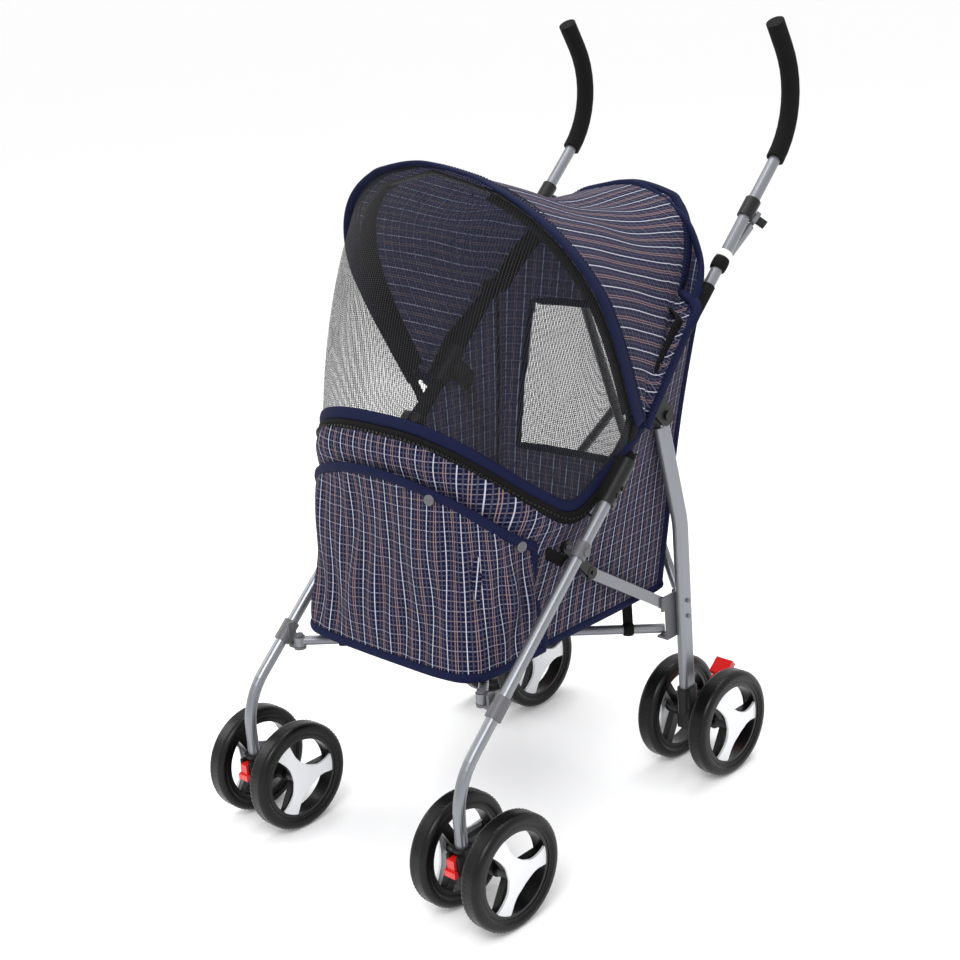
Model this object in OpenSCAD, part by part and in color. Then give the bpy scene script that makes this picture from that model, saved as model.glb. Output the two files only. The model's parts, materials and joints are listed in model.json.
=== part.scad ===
// Folding pet stroller: two tubular side frames, a fabric cabin with a canopy,
// swivelling twin front wheels and braked twin rear wheels.
// Units are millimetres. X is the width, the front faces -Y and Z is up.
// The origin is on the ground, in the middle between the wheels.

/* [Side frames] */
// Half the distance between the two front legs
leg_half = 200; // [180:1:220]
// Outer diameter of the front leg and handle tubes
tube_d = 16; // [14:0.5:18]
// Wall of every tube
tube_wall = 1.5; // [1:0.1:2]
// Lean of the front leg and handle from the ground, degrees
lean = 42; // [40:0.5:44]
// Gap between the front leg and the handle tube beside it
tube_gap = 1; // [0.5:0.1:3]
// Length of the handle tube up to its curved grip
handle_len = 566; // [520:1:620]
// Radius of the curve in the handle grip
grip_bend = 120; // [100:1:140]
// Turn of the curve in the handle grip, degrees
grip_turn = 76; // [60:1:80]
// Straight free end of the handle
grip_end = 35; // [30:1:45]
// Outer diameter of the foam grip
grip_d = 25; // [22:0.5:28]

/* [Rear legs] */
// Half the distance between the two rear legs
rear_half = 182; // [170:1:186]
// Front-to-back depth of the flat-oval rear leg
rear_depth = 26; // [22:0.5:30]
// Side-to-side thickness of the rear leg
rear_thick = 14; // [12:0.5:16]
// Distance of the rear leg pivot below the handle tube
pivot_drop = 33; // [30:0.5:40]

/* [Wheels] */
// Outer diameter of the wheels
wheel_d = 150; // [140:1:160]
// Width of a tyre
tyre_w = 29; // [24:0.5:31]
// Half the distance between the two wheels of a pair
twin_half = 44; // [41:0.5:48]
// Distance of the front axle behind its swivel axis
trail = 35; // [25:1:45]
// Place of the front swivel axis, front to back
swivel_y = -358; // [-375:1:-345]
// Place of the rear axle, front to back
rear_axle_y = 140; // [130:1:155]
// Diameter of the axles
axle_d = 8; // [6:0.5:10]
// Running clearance of pins and axles, on the radius
fit = 0.06; // [0.04:0.01:0.1]

/* [Cabin] */
// Half the width of the cabin bag
bag_half = 152; // [135:1:156]
// Height of the cabin floor above the ground
floor_z = 276; // [272:1:290]
// Thickness of the fabric walls
cloth = 4; // [3:0.5:6]
// Half the width of the canopy at the front hoop
hood_half = 232; // [218:1:240]
// Height of the canopy at the front hoop
hood_z = 885; // [860:1:910]
// Diameter of the hoop wire
hoop_d = 6; // [5:0.5:8]

/* [Hidden] */
$fn = 48;
eps = 0.01;
// Seam between the curved and the straight sleeve of the grip
seam = 0.05;
tube_r = tube_d / 2;
tube_sides = 20;
handle_half = leg_half - tube_d - tube_gap;
wheel_r = wheel_d / 2;
// A point of the leg line, and the places along it, measured from that point
line_y = -268;
line_z = 270;
leg_top = 327;
handle_foot = 260;
grip_foot = handle_foot + handle_len;
lock_lo = 280;
lock_hi = 344;
pivot_at = 433;
upper_pin_at = 742;
upper_pin_drop = 21;
brace_foot_at = -13;
knee_at = 210;
leg_bend = 100;
// Rear leg: pivot, slope of its upper part and the foot in the wheel housing
pivot = on_line_yz(pivot_at, pivot_drop);
rear_slope = 78;
rear_y = 110;
rear_foot_z = 104;
rear_bend = 120;
rear_plug = 16;
corner_z = pivot[1] - (rear_y - pivot[0]) * tan(rear_slope);
// Knee link
link_t = 6;
link_w = 17;
link_x = rear_half - rear_thick / 2 - 6;
short_x = link_x + link_t / 2 + 1;
short_len = 66;
long_len = 180;
knee = on_line_yz(knee_at, 0);
link_pin = [82, 262];
knee_span = norm(link_pin - knee);
knee_slope = atan2(link_pin[1] - knee[1], link_pin[0] - knee[0]);
knee_in = acos((short_len ^ 2 + knee_span ^ 2 - long_len ^ 2) / (2 * short_len * knee_span));
knee_mid = knee + short_len * [cos(knee_slope - knee_in), sin(knee_slope - knee_in)];
pin_r = 3.5;
// Crossed braces behind the cabin and under it
upper_pin = concat([handle_half], on_line_yz(upper_pin_at, upper_pin_drop));
back_end = [-(rear_half - 20), 124, 262];
// Folding: the rear legs swing forward and the side frames slide together, and the
// back braces keep their length
fold_swing = 24;
back_arm_v = back_end - upper_pin;
back_end_turned = turned(back_end, pivot, fold_swing);
back_drop_v = back_end_turned - upper_pin;
fold_slide = (-back_arm_v[0]
    - sqrt(norm(back_arm_v) ^ 2 - back_drop_v[1] ^ 2 - back_drop_v[2] ^ 2)) / 2;
back_fold_v = [back_arm_v[0] + 2 * fold_slide, back_drop_v[1], back_drop_v[2]];
back_axis = unit(cross(back_arm_v, back_fold_v));
back_d = 13;
back_shift = 7.5;
front_pin_x = leg_half - 26;
front_pin = on_line_yz(brace_foot_at, 0);
low_end = [-(rear_half - 22), 93, 226];
low_d = 13;
low_shift = 7.5;
// Wheel housings
fork_half = twin_half - tyre_w / 2 - 3;
leg_foot_z = 86;
swivel_r = 13;
// Canopy hinge and hoops
hood_pivot = [16, 525];
hood_hub = leg_half + 4;
front_rake = -0.41;
rear_rake = 0.93;
rear_hoop_half = 172;
rear_hoop_z = 796;
hoop_steps = 26;
hood_steps = 8;

// ---- Places and directions ----

// Place in the side view at a distance along the leg line and below it
function on_line_yz(along, drop) =
    [line_y + along * cos(lean) + drop * sin(lean),
     line_z + along * sin(lean) - drop * cos(lean)];

function unit(v) = v / norm(v);

// A point turned about an axis along X, its foot forward, by an angle
function turned(p, about, a) =
    let (y = p[1] - about[0], z = p[2] - about[1])
        [p[0], about[0] + y * cos(a) + z * sin(a), about[1] - y * sin(a) + z * cos(a)];

// Signed power, which keeps the sign of its base
function spow(v, p) = sign(v) * pow(abs(v), p);

// Children drawn on the leg line: local Z runs up the line, local Y points down and back
module on_line(along, drop = 0, x = 0) {
    place = on_line_yz(along, drop);
    translate([x, place[0], place[1]]) rotate([lean - 90, 0, 0]) children();
}

// Children on the chosen side of the stroller, 1 for right and -1 for left
module side(s) {
    mirror([s < 0 ? 1 : 0, 0, 0]) children();
}

// A cylinder along X from one place to another
module x_rod(x0, x1, y, z, r) {
    translate([x0, y, z]) rotate([0, 90, 0]) cylinder(h = x1 - x0, r = r);
}

// Children with their Z axis turned to a direction
module aim(v) {
    rotate([0, acos(v[2] / norm(v)), atan2(v[1], v[0])]) children();
}

// A round rod between two points
module rod(a, b, r) {
    translate(a) aim(b - a) cylinder(h = norm(b - a), r = r);
}

// ---- Front legs, handles and grips ----

// Points of a round or flat-oval profile: across is X, deep lies in the side view
function ring(across, deep, sides = tube_sides) = [for (k = [0:sides - 1])
    let (a = 360 * (k + 0.5) / sides, flat = (deep - across) / 2)
        [across / 2 * cos(a), across / 2 * sin(a) + flat * sign(sin(a))]];

// Stations of a curve in the side view, as [y, z, direction]
function bend(centre, radius, from, to, step = 8) =
    let (n = ceil(abs(to - from) / step))
        [for (i = [0:n]) let (a = from + (to - from) * i / n)
            [centre[0] + radius * sin(a), centre[1] - radius * cos(a), a]];

function line_station(along) = concat(on_line_yz(along, 0), [lean]);

// A hollow tube in the side view: stations carry an outer and an inner profile
module bent_tube(x, stations, outer, inner) {
    n = len(stations);
    m = len(outer);
    function place(st, q) = [x + q[0], st[0] - q[1] * sin(st[2]), st[1] + q[1] * cos(st[2])];
    function at(i, k, deep) = (deep * n + i) * m + k % m;
    polyhedron(
        concat([for (st = stations) for (q = outer) place(st, q)],
            [for (st = stations) for (q = inner) place(st, q)]),
        concat(
            [for (i = [0:n - 2]) for (k = [0:m - 1])
                [at(i, k, 0), at(i, k + 1, 0), at(i + 1, k + 1, 0), at(i + 1, k, 0)]],
            [for (i = [0:n - 2]) for (k = [0:m - 1])
                [at(i, k, 1), at(i + 1, k, 1), at(i + 1, k + 1, 1), at(i, k + 1, 1)]],
            [for (k = [0:m - 1]) [at(0, k, 0), at(0, k, 1), at(0, k + 1, 1), at(0, k + 1, 0)]],
            [for (k = [0:m - 1])
                [at(n - 1, k, 0), at(n - 1, k + 1, 0), at(n - 1, k + 1, 1), at(n - 1, k, 1)]]));
}

// Front leg: upright from the caster, curved back, then straight up the leg line
function leg_path() =
    let (c = [swivel_y + leg_bend, 0], y = swivel_y + leg_bend * (1 - sin(lean)),
        z = line_z + (y - line_y) * tan(lean) - leg_bend * cos(lean))
        concat([[swivel_y, leg_foot_z, 90]],
            [for (i = [0:8]) let (a = 90 - (90 - lean) * i / 8)
                [c[0] - leg_bend * sin(a), z + leg_bend * cos(a), a]],
            [line_station(leg_top)]);

module front_leg(s) {
    color("silver") side(s) {
        bent_tube(leg_half, leg_path(), ring(tube_d, tube_d),
            ring(tube_d - 2 * tube_wall, tube_d - 2 * tube_wall));
    }
}

// Handle: straight up the leg line, curved up and forward, then a straight free end
function grip_path() =
    let (c = on_line_yz(grip_foot, -grip_bend))
        concat(bend(c, grip_bend, lean, lean + grip_turn));

function grip_tip() =
    let (e = grip_path()[len(grip_path()) - 1])
        [e[0] + grip_end * cos(e[2]), e[1] + grip_end * sin(e[2]), e[2]];

module handle_tube(s) {
    color("silver") side(s)
        bent_tube(handle_half, concat([line_station(handle_foot)], grip_path(), [grip_tip()]),
            ring(tube_d, tube_d), ring(tube_d - 2 * tube_wall, tube_d - 2 * tube_wall));
}

module grip(s) {
    tip = grip_tip();
    color("black") side(s) {
        bent_tube(handle_half, grip_path(), ring(grip_d, grip_d), ring(tube_d, tube_d));
        translate([handle_half, tip[0], tip[1]]) rotate([tip[2] - 90, 0, 0]) {
            translate([0, 0, seam - grip_end]) difference() {
                cylinder(h = grip_end + 4 - seam, r = grip_d / 2);
                translate([0, 0, -1]) cylinder(h = grip_end + 1 + eps, r = tube_r + eps);
            }
        }
    }
}

// ---- Brackets on the side frame ----

module lock_bracket(s) {
    long = lock_hi - lock_lo;
    mid = (leg_half + handle_half) / 2;
    wide = leg_half - handle_half;
    color("black") side(s) difference() {
        union() {
            on_line(lock_lo, 0, mid) {
                translate([-wide / 2, 0, 0]) cylinder(h = long, r = tube_r + 3);
                translate([wide / 2, 0, 0]) cylinder(h = long, r = tube_r + 3);
                translate([-wide / 2, -tube_r - 3, 0]) cube([wide, tube_d + 6, long]);
                for (x = [-9, 5]) translate([x, tube_r, 34]) cube([4, 12, 20]);
            }
            for (at = [lock_lo + 14, lock_lo + 26])
                on_line(at, -2 + (at - lock_lo) / 4, leg_half + tube_r + 2)
                    rotate([0, 90, 0]) cylinder(h = 2.5, r = 3.2);
        }
        on_line(lock_lo - 5, 0, leg_half) cylinder(h = leg_top - lock_lo + 5, r = tube_r);
        on_line(lock_lo - 5, 0, handle_half) cylinder(h = 100, r = tube_r);
        on_line(lock_lo + 46, tube_r + 7.5, mid) rotate([0, 90, 0])
            cylinder(h = 40, r = 2 + fit, center = true);
    }
}

module lock_lever(s) {
    mid = (leg_half + handle_half) / 2;
    color("dimgray") side(s) {
        on_line(lock_lo + 46, tube_r + 7.5, mid) {
            rotate([0, 90, 0]) cylinder(h = 19, r = 2, center = true);
            translate([0, 0.5, 0]) rotate([0, 90, 0]) cylinder(h = 9, r = 4.2, center = true);
            translate([-4.5, 0.7, -36]) cube([9, 4, 36]);
            translate([-7, 0.7, -44]) cube([14, 6, 10]);
        }
    }
}

module upper_hinge(s) {
    half = rear_thick / 2 + 1.5;
    mid = rear_half;
    cheek = 5;
    color("black") side(s) {
        difference() {
            union() {
                on_line(pivot_at - 30, 0, handle_half) cylinder(h = 58, r = tube_r + 4);
                on_line(pivot_at, 0, 0) {
                    translate([mid - half - cheek, 0, -14])
                        cube([2 * (half + cheek), tube_r + 6, 28]);
                    for (x = [mid - half - cheek, mid + half]) {
                        translate([x, 0, -14]) cube([cheek, pivot_drop, 28]);
                        translate([x, pivot_drop, 0]) rotate([0, 90, 0])
                            cylinder(h = cheek, r = 14);
                    }
                }
            }
            on_line(pivot_at - 60, 0, handle_half) cylinder(h = 120, r = tube_r);
        }
        x_rod(mid - half - cheek - 2, mid + half + cheek + 2, pivot[0], pivot[1], 4);
        for (x = [mid - half - cheek - 3.5, mid + half + cheek])
            x_rod(x, x + 3.5, pivot[0], pivot[1], 6.5);
        // Ear and pin of the crossed brace
        difference() {
            on_line(upper_pin_at - 14, 0, handle_half) cylinder(h = 28, r = tube_r + 3);
            on_line(upper_pin_at - 20, 0, handle_half) cylinder(h = 40, r = tube_r);
        }
        translate(upper_pin) aim(back_axis) {
            translate([0, 0, -16]) cylinder(h = 12.5, r = 6);
            translate([0, 0, -4]) cylinder(h = 10, r = pin_r);
            translate([0, 0, 3.5]) cylinder(h = 3, r = 6);
        }
    }
}

module front_bracket(s) {
    shift = s * low_shift;
    color("gray") side(s) {
        difference() {
            on_line(brace_foot_at - 15, 0, leg_half) cylinder(h = 30, r = tube_r + 3);
            on_line(brace_foot_at - 20, 0, leg_half) cylinder(h = 40, r = tube_r);
        }
        translate([front_pin_x, front_pin[0], front_pin[1] + shift]) {
            translate([0, 0, -low_d / 2 - 4.5]) cylinder(h = 4, r = 8.5);
            translate([0, -6, -low_d / 2 - 4.5]) cube([leg_half - front_pin_x - tube_r - 1, 12, 4]);
            translate([0, 0, -low_d / 2 - 4.5]) cylinder(h = low_d + 8, r = 3);
            translate([0, 0, low_d / 2 + 0.5]) cylinder(h = 3, r = 6);
        }
        translate([leg_half - tube_r - 5, front_pin[0] - 6, front_pin[1] - 18])
            cube([4, 12, 34]);
        // Saddle and pin of the knee link
        difference() {
            on_line(knee_at - 11, 0, leg_half) cylinder(h = 22, r = tube_r + 2.5);
            on_line(knee_at - 20, 0, leg_half) cylinder(h = 40, r = tube_r);
        }
        x_rod(short_x - 3, leg_half - tube_r - 1, knee[0], knee[1], pin_r);
        x_rod(short_x - 3, short_x - 0.5, knee[0], knee[1], 6);
        x_rod(leg_half + tube_r + 1.5, leg_half + tube_r + 4, knee[0], knee[1], 5.5);
    }
}

// ---- Rear legs ----

// Flat-oval profile in the ground plane
module oval(r) {
    flat = rear_depth - rear_thick;
    for (x = [-flat / 2, flat / 2]) translate([x, 0]) circle(r = r);
    translate([-flat / 2, -r]) square([flat, 2 * r]);
}

// Rear leg: upright from the foot, bent, then sloping up to the pivot
function rear_path() =
    let (turn = 90 - rear_slope, cut = rear_bend * tan(turn / 2),
        c = [rear_y - rear_bend, corner_z - cut],
        top = pivot + rear_plug * [cos(rear_slope), -sin(rear_slope)])
        concat([[rear_y, rear_foot_z, 90]],
            [for (i = [0:3]) let (a = turn * i / 3)
                [c[0] + rear_bend * cos(a), c[1] + rear_bend * sin(a), 90 + a]],
            [[top[0], top[1], 180 - rear_slope]]);

module rear_leg(s) {
    r = rear_thick / 2;
    wall = 2 * tube_wall;
    plug_w = rear_thick - 1.6;
    plug_d = rear_depth - 10;
    color("silver") side(s) {
        bent_tube(rear_half, rear_path(), ring(rear_thick, rear_depth),
            ring(rear_thick - wall, rear_depth - wall));
        difference() {
            union() {
                x_rod(rear_half - r, rear_half + r, pivot[0], pivot[1], rear_depth / 2);
                translate([rear_half, pivot[0], pivot[1]]) rotate([-90 - rear_slope, 0, 0])
                    translate([-plug_w / 2, -plug_d / 2, 0])
                        cube([plug_w, plug_d, rear_plug + 4]);
            }
            x_rod(rear_half - r - 1, rear_half + r + 1, pivot[0], pivot[1], 4 + fit);
        }
    }
}

module rear_bracket(s) {
    inner = rear_half - rear_thick / 2;
    shift = -s * low_shift;
    shelf_z = low_end[2] + shift - low_d / 2 - 3.5;
    color("dimgray") side(s) {
        // Plate on the inner face of the leg
        translate([inner - 3, low_end[1] - 12, shelf_z]) cube([3, 50, 273 - shelf_z]);
        translate([inner - 3, link_pin[0] - 9, link_pin[1] - 9]) cube([3, 18, 20]);
        // Pin of the long link
        x_rod(link_x - link_t / 2 - 3, inner - 1, link_pin[0], link_pin[1], pin_r);
        x_rod(link_x - link_t / 2 - 3, link_x - link_t / 2 - 0.5, link_pin[0], link_pin[1], 6);
        // Stud of the back brace
        x_rod(-back_end[0] - 9, inner - 1, back_end[1], back_end[2], 3);
        // Shelf under the end of the bottom brace
        translate([inner - 18, low_end[1] - 12, shelf_z]) cube([17, 34, 3]);
        for (z = [238, 261]) x_rod(inner - 1, rear_half + rear_thick / 2 + 2, rear_y, z, 3);
    }
}

module rear_hub(s) {
    color("black") side(s) difference() {
        union() {
            translate([rear_half, rear_y, 92]) rotate([0, 0, 90])
                linear_extrude(38) oval(rear_thick / 2 + 3);
            x_rod(rear_half - fork_half, rear_half + fork_half, rear_axle_y, wheel_r, 15);
            translate([rear_half - 10, rear_y - 12, wheel_r - 6])
                cube([20, rear_axle_y - rear_y + 12, 30]);
            translate([rear_half - 12, rear_axle_y + 4, wheel_r + 5]) cube([24, 16, 22]);
        }
        translate([rear_half, rear_y, rear_foot_z]) rotate([0, 0, 90])
            linear_extrude(60) oval(rear_thick / 2);
        x_rod(rear_half - fork_half - 1, rear_half + fork_half + 1, rear_axle_y, wheel_r, axle_d / 2);
        x_rod(rear_half - 13, rear_half + 13, rear_axle_y + 16, wheel_r + 22, 2.5 + fit);
        translate([rear_half - 8.3, rear_axle_y + 5, wheel_r + 12]) cube([16.6, 20, 20]);
    }
}

module brake_pedal(s) {
    color("red") side(s) translate([0, rear_axle_y + 16, wheel_r + 22]) {
        x_rod(rear_half - 12, rear_half + 12, 0, 0, 2.5);
        x_rod(rear_half - 8, rear_half + 8, 0, 0, 5);
        translate([rear_half - 8, 0, 0]) rotate([38, 0, 0]) {
            translate([0, 0, -3]) cube([16, 44, 6]);
            translate([-6, 34, -4]) cube([28, 24, 10]);
        }
    }
}

// Axle of a pair of wheels, with a cap on each end
module pair_axle(x, y) {
    half = twin_half + tyre_w / 2 - 2;
    color("gray") {
        x_rod(x - half, x + half, y, wheel_r, axle_d / 2);
        for (e = [x - half - 3, x + half]) x_rod(e, e + 3, y, wheel_r, 9);
    }
}

// ---- Folding links and braces ----

// Flat bar with round ends and two holes in the side view
module link_bar(a, b, x, hole_a, hole_b) {
    d = b - a;
    difference() {
        union() {
            for (p = [a, b]) x_rod(x - link_t / 2, x + link_t / 2, p[0], p[1], link_w / 2);
            translate([x - link_t / 2, a[0], a[1]]) rotate([atan2(d[1], d[0]), 0, 0])
                translate([0.5, 6, 1 - link_w / 2])
                    cube([link_t - 1, norm(d) - 12, link_w - 2]);
        }
        x_rod(x - link_t, x + link_t, a[0], a[1], hole_a);
        x_rod(x - link_t, x + link_t, b[0], b[1], hole_b);
    }
}

module short_link(s) {
    x = short_x + link_t / 2;
    color("black") side(s) {
        link_bar(knee, knee_mid, x, pin_r + fit, 2);
        x_rod(short_x - 0.6, short_x + link_t + 2, knee_mid[0], knee_mid[1], 2.5);
    }
}

module long_link(s) {
    color("silver") side(s)
        link_bar(link_pin, knee_mid, link_x, pin_r + fit, 5.5);
}

// One arm of the crossed brace behind the cabin, hung from its upper pin
module back_arm(s) {
    dir = unit(back_end - upper_pin);
    middle = upper_pin + (back_end - upper_pin) * handle_half / (handle_half - back_end[0])
        + s * back_shift * unit(cross([1, 0, 0], dir));
    r = back_d / 2;
    color("silver") side(s) difference() {
        union() {
            translate(upper_pin) aim(back_axis) translate([0, 0, -3]) cylinder(h = 6, r = 10);
            rod(upper_pin + dir * 8, middle, r);
            translate(middle) sphere(r = r + 0.6);
            rod(middle, back_end - dir * 7, r);
            ring_eye(back_end, 9.5);
        }
        translate(upper_pin) aim(back_axis) cylinder(h = 60, r = pin_r + fit, center = true);
        for (k = [-1, 1]) translate(upper_pin + k * 8 * back_axis) aim(back_axis)
            cylinder(h = 10, r = 13, center = true);
        ring_eye(back_end, 6.5, 30);
    }
}

// Eye whose axis lies across the stroller
module ring_eye(at, r, wide = 6) {
    x_rod(at[0] - wide / 2, at[0] + wide / 2, at[1], at[2], r);
}

module bottom_arm(s) {
    shift = s * low_shift;
    a = [front_pin_x, front_pin[0], front_pin[1] + shift];
    b = [low_end[0], low_end[1], low_end[2] + shift];
    dir = unit(b - a);
    color("silver") side(s) difference() {
        union() {
            translate([a[0], a[1], a[2] - low_d / 2]) cylinder(h = low_d, r = 8);
            rod(a, b, low_d / 2);
        }
        rod(a + 16 * dir, b + dir, low_d / 2 - tube_wall);
        translate([a[0], a[1], a[2] - 20]) cylinder(h = 40, r = 3 + fit);
        for (k = [-1, 1]) translate([a[0] - 12, a[1] - 12, a[2] + k * (low_d / 2 + 10) - 10])
            cube([24, 24, 20]);
    }
}

// ---- Casters ----

module caster_fork(s) {
    axle_y = swivel_y + trail;
    color("black") side(s) difference() {
        union() {
            translate([leg_half, swivel_y, 62]) cylinder(h = 48, r = swivel_r);
            x_rod(leg_half - fork_half, leg_half + fork_half, axle_y, wheel_r, 14);
            translate([leg_half - 9, swivel_y, wheel_r - 12]) cube([18, trail, 30]);
            translate([leg_half - 11, swivel_y - swivel_r - 4, 78]) cube([22, 12, 26]);
        }
        x_rod(leg_half - fork_half - 1, leg_half + fork_half + 1, axle_y, wheel_r, axle_d / 2);
        translate([leg_half, swivel_y, 84]) cylinder(h = 40, r = tube_r + fit);
        translate([leg_half - 6.2, swivel_y - swivel_r - 5, 76]) cube([12.4, 9, 30]);
    }
}

module swivel_lock(s) {
    color("red") side(s) {
        translate([leg_half - 6, swivel_y - swivel_r - 8, 80]) cube([12, 11.8, 20]);
        translate([leg_half - 9, swivel_y - swivel_r - 11, 78]) cube([18, 6, 8]);
    }
}

// ---- Wheels ----

module tyre(x, y) {
    r_in = wheel_r - 17;
    half = tyre_w / 2;
    shoulder = 8;
    color("#151515") translate([x, y, wheel_r]) rotate([0, 90, 0])
        rotate_extrude($fn = 96) {
            for (e = [-1, 1]) translate([wheel_r - shoulder, e * (half - shoulder)])
                circle(r = shoulder);
            translate([r_in, -half + 3]) square([wheel_r - shoulder - r_in, tyre_w - 6]);
            translate([r_in + 6, -half]) square([wheel_r - shoulder - r_in - 6, tyre_w]);
            translate([r_in, -half + shoulder]) square([wheel_r - r_in, tyre_w - 2 * shoulder]);
        }
}

module rim(x, y, face) {
    r_out = wheel_r - 17;
    half = tyre_w / 2 - 4;
    color("black") translate([x, y, wheel_r]) rotate([0, 90, 0]) difference() {
        union() {
            difference() {
                translate([0, 0, -half]) cylinder(h = 2 * half, r = r_out, $fn = 96);
                translate([0, 0, -half - 1]) cylinder(h = 2 * half + 2, r = r_out - 5, $fn = 96);
            }
            translate([0, 0, -half]) cylinder(h = 2 * half, r = 12);
            for (a = [0, 120, 240]) rotate([0, 0, a + 90]) translate([5, -7, -5])
                cube([r_out - 8, 14, 10]);
            translate([0, 0, face * half - (face < 0 ? 1.5 : 0)]) cylinder(h = 1.5, r = 11);
        }
        translate([0, 0, -half - 3]) cylinder(h = 2 * half + 6, r = axle_d / 2 + fit);
    }
}

// ---- Soft goods ----

// A tube swept along points, closed at both ends
module sweep(points, r, sides = 8) {
    n = len(points);
    function tangent(i) = unit(points[min(i + 1, n - 1)] - points[max(i - 1, 0)]);
    rings = [for (i = [0:n - 1])
        let (t = tangent(i), u = unit(cross(t, [0, 1, 0.3])), v = cross(t, u))
            [for (k = [0:sides - 1])
                points[i] + r * (cos(360 * k / sides) * u + sin(360 * k / sides) * v)]];
    polyhedron(
        [for (ring = rings) for (p = ring) p],
        concat(
            [[for (k = [0:sides - 1]) k]],
            [for (i = [0:n - 2]) for (k = [0:sides - 1])
                let (a = i * sides + k, b = i * sides + (k + 1) % sides)
                    [b, a, a + sides, b + sides]],
            [[for (k = [sides - 1:-1:0]) (n - 1) * sides + k]]));
}

// Angle along an arch: u runs from 0 at the right pivot through 1 at the top to 2
function arch_angle(u) = u < 1 ? asin(u ^ 2) : 180 - asin((2 - u) ^ 2);

// Arch of the hood between the pivots: w runs from 0 at the front hoop to 1 at the rear
function hood_point(u, w, inset = 0) =
    let (
        a = arch_angle(u),
        dip = 38 * sin(180 * w),
        top = hood_z + (rear_hoop_z - hood_z) * w - dip - inset - hood_pivot[1],
        half = hood_half + (rear_hoop_half - hood_half) * w - inset,
        rake = front_rake + (rear_rake - front_rake) * w,
        rise = pow(sin(a), 0.5 + 0.1 * w),
        spread = hood_hub + (half - hood_hub) * min(1, rise / 0.55) - inset * (1 - rise),
        x = spread * spow(cos(a), 1.1 - 0.25 * w),
        // Beside the handle tube the cloth stays outside it
        beside = 0.25 + 1.35 * max(0, w - 0.8),
        fade = max(0, 1 - max(0, rise - beside) / 0.25),
        clear = (hood_hub - 1 - 8 * rise - inset) * fade
    )
    [sign(x) * max(abs(x), clear),
     hood_pivot[0] + rake * top * rise,
     hood_pivot[1] + top * rise];

// A hoop follows the canopy's own steps, leaving out some at each end
module hoop(w, left_out) {
    color("black") sweep([for (i = [left_out:hoop_steps - left_out])
        hood_point(hood_first + 2 * (1 - hood_first) * i / hoop_steps, w,
            cloth + hoop_d / 2 + 2)], hoop_d / 2);
}

// A closed skin between two grids of points of the same size
module skin(outer, inner) {
    rows = len(outer);
    cols = len(outer[0]);
    count = rows * cols;
    function at(i, j, deep) = deep * count + i * cols + j;
    polyhedron(
        concat([for (row = outer) for (p = row) p], [for (row = inner) for (p = row) p]),
        concat(
            [for (i = [0:rows - 2]) for (j = [0:cols - 2])
                [at(i, j, 0), at(i + 1, j, 0), at(i + 1, j + 1, 0), at(i, j + 1, 0)]],
            [for (i = [0:rows - 2]) for (j = [0:cols - 2])
                [at(i, j, 1), at(i, j + 1, 1), at(i + 1, j + 1, 1), at(i + 1, j, 1)]],
            [for (i = [0:rows - 2]) for (e = [0, 1])
                let (j = e * (cols - 1))
                    e == 0 ? [at(i, j, 0), at(i, j, 1), at(i + 1, j, 1), at(i + 1, j, 0)]
                        : [at(i, j, 0), at(i + 1, j, 0), at(i + 1, j, 1), at(i, j, 1)]],
            [for (j = [0:cols - 2]) for (e = [0, 1])
                let (i = e * (rows - 1))
                    e == 0 ? [at(i, j, 0), at(i, j + 1, 0), at(i, j + 1, 1), at(i, j, 1)]
                        : [at(i, j, 0), at(i, j, 1), at(i, j + 1, 1), at(i, j + 1, 0)]]));
}

hood_first = 0.1;
function hood_grid(inset) = [for (i = [0:hoop_steps])
    [for (j = [0:hood_steps])
        hood_point(hood_first + 2 * (1 - hood_first) * i / hoop_steps, j / hood_steps, inset)]];

module canopy() {
    color("navy") skin(hood_grid(0), hood_grid(cloth));
}

// Front edge of the cabin: low at the sides and arched in the middle
function rim_point(t, out = 0) =
    let (a = 180 * t)
    [(170 + out) * spow(cos(a), 0.7), -106 - (142 + out) * pow(sin(a), 0.6),
     462 + 112 * pow(sin(a), 0.8)];

function mesh_grid(inset) = [for (i = [0:hoop_steps])
    [for (j = [0:6])
        let (u = 0.3 + 1.4 * i / hoop_steps, w = j / 6, t = arch_angle(u) / 180,
            top = hood_point(u, 0, 1 + inset) + [0, -5, 0], low = rim_point(t, 6 - inset))
            top + (low - top) * w + [0, -26 * sin(180 * w) * sin(180 * t), 0]]];

module front_mesh() {
    color("black", 0.5) skin(mesh_grid(0), mesh_grid(2));
}

// Outline of the cabin in the side view
function cabin_outline() = [[-268, floor_z], [108, floor_z], [196, 682], [180, 688],
    [16, 505], [-80, 440], [-110, 444], [-220, 540], [-258, 540], [-274, 400]];

module cabin() {
    color("midnightblue") difference() {
        rotate([90, 0, 90]) linear_extrude(2 * bag_half, center = true) polygon(cabin_outline());
        rotate([90, 0, 90]) linear_extrude(2 * (bag_half - cloth), center = true)
            polygon([[-268 + cloth, floor_z + cloth], [108 - cloth, floor_z + cloth],
                [196 - cloth, 682], [196 - cloth, 760], [-258 + cloth, 760],
                [-258 + cloth, 540], [-274 + cloth, 400]]);
    }
}

module floor_mat() {
    color("dimgray") translate([-bag_half + cloth + 6, -256, floor_z + cloth])
        cube([2 * (bag_half - cloth - 6), 350, 8]);
}

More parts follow.
